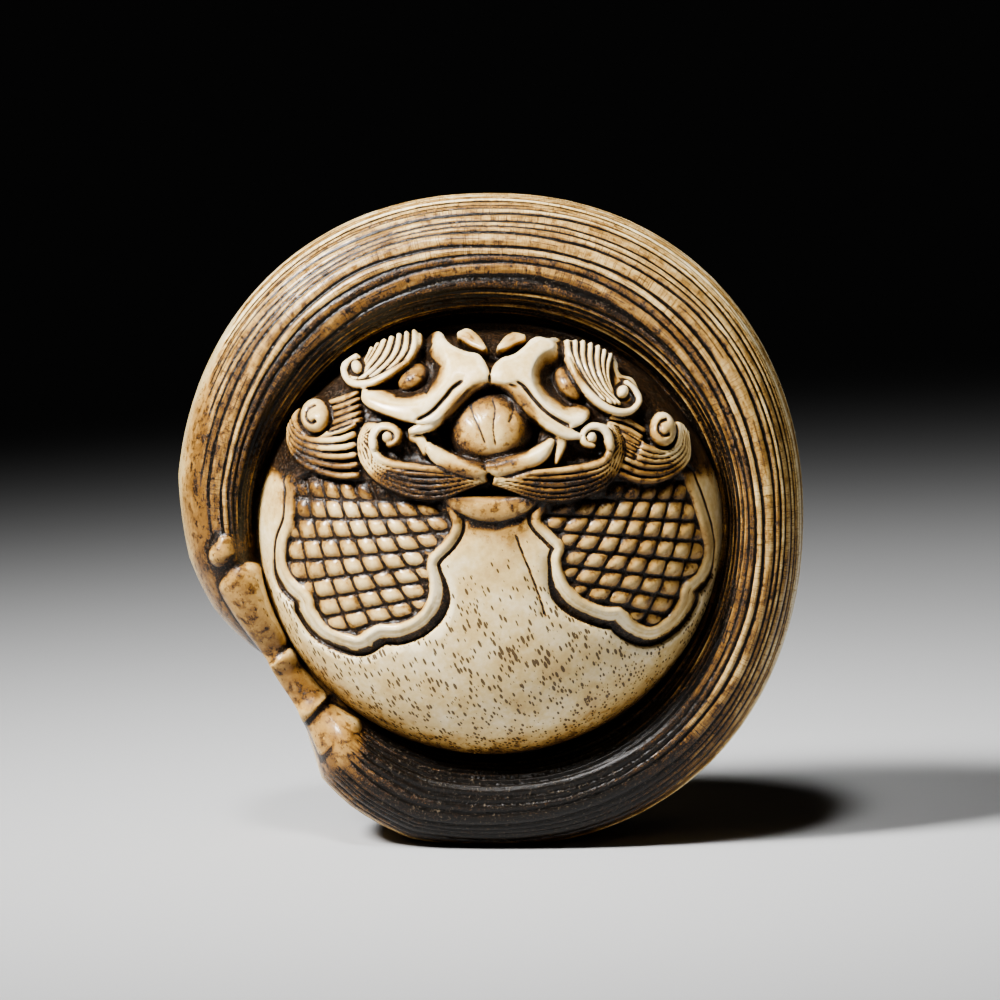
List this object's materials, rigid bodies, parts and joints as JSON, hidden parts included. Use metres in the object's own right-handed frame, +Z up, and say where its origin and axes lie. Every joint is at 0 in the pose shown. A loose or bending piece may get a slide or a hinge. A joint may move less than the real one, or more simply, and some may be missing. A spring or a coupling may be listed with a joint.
{
  "type": "netsuke",
  "caption": "Carved stag-antler netsuke: a round temple drum with confronted dragon heads and scale panels, wound about by a fly whisk.",
  "frame": {"origin": "middle of the small flat worn on the rim, on which the netsuke stands", "axes": "+Z up, from the flat through the middle of the ring; -Y the way the carved drum face looks; +X to the right seen from the front"},
  "size_m": [0.0433, 0.0246, 0.045],
  "materials": {
    "antler": "polished stag antler, ivory to honey on raised parts, brown-black stain in the hollows"
  },
  "bodies": {
    "root": {"netsuke": "antler"}
  },
  "joints": []
}
